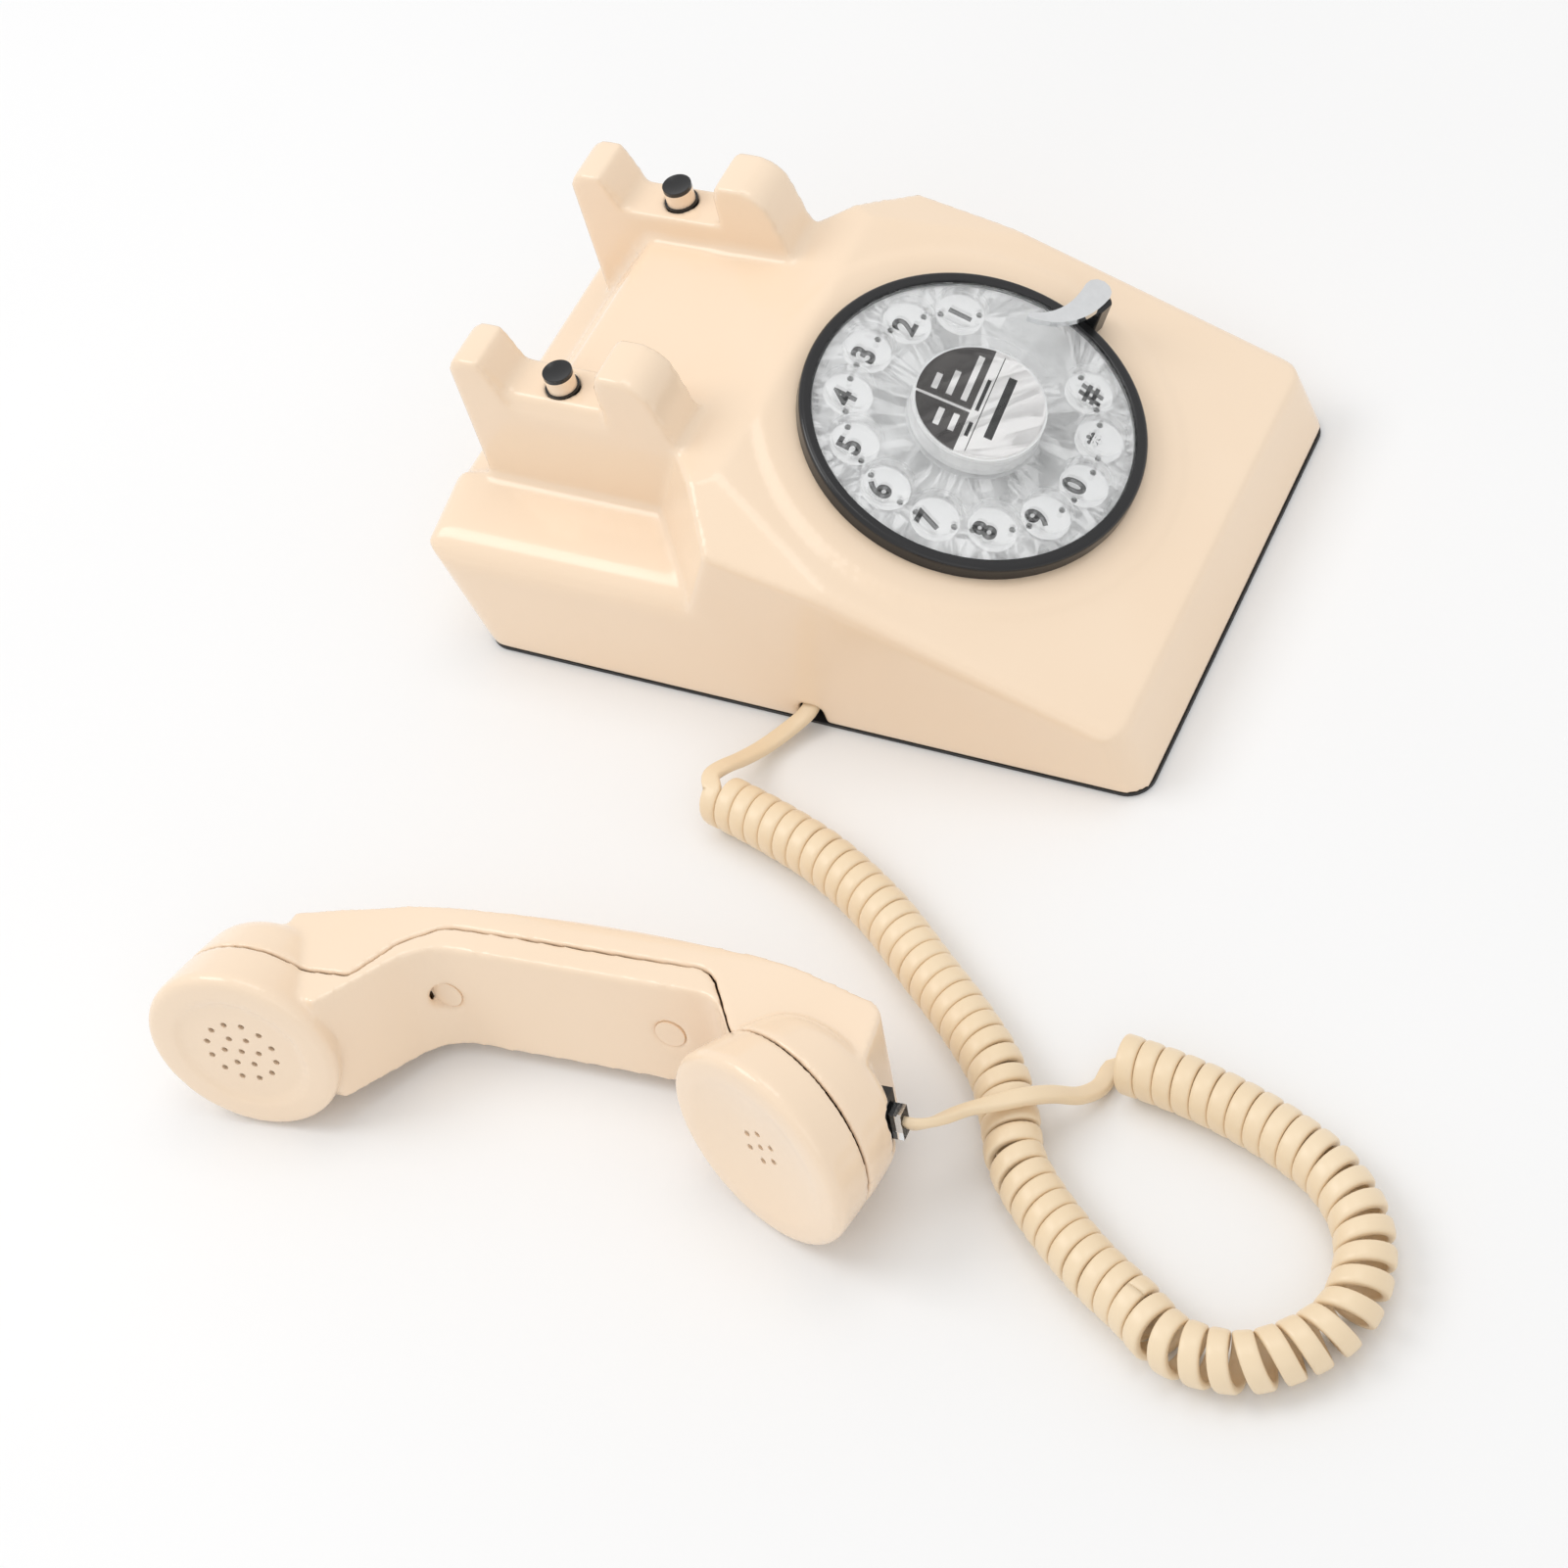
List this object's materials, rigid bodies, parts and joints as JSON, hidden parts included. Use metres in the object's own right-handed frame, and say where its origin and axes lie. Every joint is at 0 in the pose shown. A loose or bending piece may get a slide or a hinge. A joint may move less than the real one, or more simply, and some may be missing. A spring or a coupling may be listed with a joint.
{
  "type": "wall telephone",
  "caption": "Wall telephone with a round push-key dial, two-pronged cradle and separate handset on a curly cord.",
  "frame": {"origin": "on the wall face, directly behind the dial's centre", "axes": "+Z out of the wall, +Y up the wall towards the cradle, +X to the phone's right seen from the front"},
  "size_m": [0.2861, 0.3025, 0.09],
  "materials": {
    "cream": "glossy moulded plastic",
    "black_plastic": "fine matte",
    "black_gloss": "glossy",
    "steel": "zinc plated",
    "weight_iron": "bare",
    "board_green": "solder mask",
    "capsule_metal": "satin",
    "grey_plastic": "satin",
    "grey_rubber": "matte",
    "silver_print": "silvery white print",
    "card_print": "two-tone printed card",
    "chrome": "polished",
    "clear_plastic": "clear moulded plastic",
    "cord_cream": "soft gloss"
  },
  "bodies": {
    "phone": {"housing": "cream", "base_plate": "black_plastic", "base_screws": "steel", "main_board": "board_green", "board_screws": "steel", "line_socket": "black_plastic", "base_cord_socket": "black_plastic", "ring_speaker": "capsule_metal", "base_weight": "weight_iron", "hook_bracket": "steel", "hook_lever_pin": "steel", "hook_switch": "black_plastic", "hook_spring": "steel", "plunger_bushing_left": "black_gloss", "plunger_bushing_right": "black_gloss", "dial_ring": "black_gloss", "dial_plate": "silver_print", "finger_plate": "clear_plastic", "finger_stop_post": "black_gloss", "finger_stop": "chrome", "key_mat": "grey_rubber", "key_board": "board_green", "dial_screws": "steel", "cord_base_plug": "clear_plastic", "cord_base_tail": "cord_cream", "cord_coil_near": "cord_cream"},
    "lever": {"hook_lever": "grey_plastic"},
    "plunger_l": {"plunger_left": "cream", "plunger_cap_left": "black_gloss"},
    "plunger_r": {"plunger_right": "cream", "plunger_cap_right": "black_gloss"},
    "hands_free": {"hands_free_button": "silver_print", "hands_free_card": "card_print", "hands_free_lens": "clear_plastic"},
    "handset": {"handset_front_shell": "cream", "handset_back_shell": "cream", "handset_screws": "steel", "screw_plugs": "cream", "receiver_capsule": "capsule_metal", "microphone_capsule": "capsule_metal", "handset_weight": "weight_iron", "handset_socket": "black_plastic", "handset_cord_plug": "clear_plastic", "cord_handset_tail": "cord_cream", "cord_coil_far": "cord_cream"},
    "key_1_body": {"key_1": "clear_plastic"},
    "key_2_body": {"key_2": "clear_plastic"},
    "key_3_body": {"key_3": "clear_plastic"},
    "key_4_body": {"key_4": "clear_plastic"},
    "key_5_body": {"key_5": "clear_plastic"},
    "key_6_body": {"key_6": "clear_plastic"},
    "key_7_body": {"key_7": "clear_plastic"},
    "key_8_body": {"key_8": "clear_plastic"},
    "key_9_body": {"key_9": "clear_plastic"},
    "key_0_body": {"key_0": "clear_plastic"},
    "key_star_body": {"key_star": "clear_plastic"},
    "key_hash_body": {"key_hash": "clear_plastic"}
  },
  "joints": [
    {"name": "hook_lever_pivot", "type": "hinge", "parent": "phone", "child": "lever", "pos_m": [0, 0.075, 0.046], "axis": [-1, 0, 0], "range_deg": [0, 10.8], "stiffness_Nm_per_rad": 0.1, "springref_deg": -11.46},
    {"name": "plunger_left_slide", "type": "slide", "parent": "phone", "child": "plunger_l", "axis": [0, 0, -1], "range_m": [0, 0.004]},
    {"name": "plunger_right_slide", "type": "slide", "parent": "phone", "child": "plunger_r", "axis": [0, 0, -1], "range_m": [0, 0.004]},
    {"name": "key_1_press", "type": "slide", "parent": "phone", "child": "key_1_body", "axis": [0, 0.4067, -0.9135], "range_m": [0, 0.0012], "stiffness_N_per_m": 400, "springref_m": -0.0004},
    {"name": "key_2_press", "type": "slide", "parent": "phone", "child": "key_2_body", "axis": [0, 0.4067, -0.9135], "range_m": [0, 0.0012], "stiffness_N_per_m": 400, "springref_m": -0.0004},
    {"name": "key_3_press", "type": "slide", "parent": "phone", "child": "key_3_body", "axis": [0, 0.4067, -0.9135], "range_m": [0, 0.0012], "stiffness_N_per_m": 400, "springref_m": -0.0004},
    {"name": "key_4_press", "type": "slide", "parent": "phone", "child": "key_4_body", "axis": [0, 0.4067, -0.9135], "range_m": [0, 0.0012], "stiffness_N_per_m": 400, "springref_m": -0.0004},
    {"name": "key_5_press", "type": "slide", "parent": "phone", "child": "key_5_body", "axis": [0, 0.4067, -0.9135], "range_m": [0, 0.0012], "stiffness_N_per_m": 400, "springref_m": -0.0004},
    {"name": "key_6_press", "type": "slide", "parent": "phone", "child": "key_6_body", "axis": [0, 0.4067, -0.9135], "range_m": [0, 0.0012], "stiffness_N_per_m": 400, "springref_m": -0.0004},
    {"name": "key_7_press", "type": "slide", "parent": "phone", "child": "key_7_body", "axis": [0, 0.4067, -0.9135], "range_m": [0, 0.0012], "stiffness_N_per_m": 400, "springref_m": -0.0004},
    {"name": "key_8_press", "type": "slide", "parent": "phone", "child": "key_8_body", "axis": [0, 0.4067, -0.9135], "range_m": [0, 0.0012], "stiffness_N_per_m": 400, "springref_m": -0.0004},
    {"name": "key_9_press", "type": "slide", "parent": "phone", "child": "key_9_body", "axis": [0, 0.4067, -0.9135], "range_m": [0, 0.0012], "stiffness_N_per_m": 400, "springref_m": -0.0004},
    {"name": "key_0_press", "type": "slide", "parent": "phone", "child": "key_0_body", "axis": [0, 0.4067, -0.9135], "range_m": [0, 0.0012], "stiffness_N_per_m": 400, "springref_m": -0.0004},
    {"name": "key_star_press", "type": "slide", "parent": "phone", "child": "key_star_body", "axis": [0, 0.4067, -0.9135], "range_m": [0, 0.0012], "stiffness_N_per_m": 400, "springref_m": -0.0004},
    {"name": "key_hash_press", "type": "slide", "parent": "phone", "child": "key_hash_body", "axis": [0, 0.4067, -0.9135], "range_m": [0, 0.0012], "stiffness_N_per_m": 400, "springref_m": -0.0004},
    {"name": "hands_free_press", "type": "slide", "parent": "phone", "child": "hands_free", "axis": [0, 0.4067, -0.9135], "range_m": [0, 0.0012], "stiffness_N_per_m": 500, "springref_m": -0.0006},
    {"name": "handset_lift", "type": "slide", "parent": "phone", "child": "handset", "axis": [0, 0, 1], "range_m": [0, 0.08], "deforming": ["cord_coil_far", "cord_handset_tail"]}
  ],
  "couplings": [
    {"joint": "plunger_left_slide", "follows": "hook_lever_pivot", "m_per_rad": 0.021},
    {"joint": "plunger_right_slide", "follows": "hook_lever_pivot", "m_per_rad": 0.021}
  ]
}
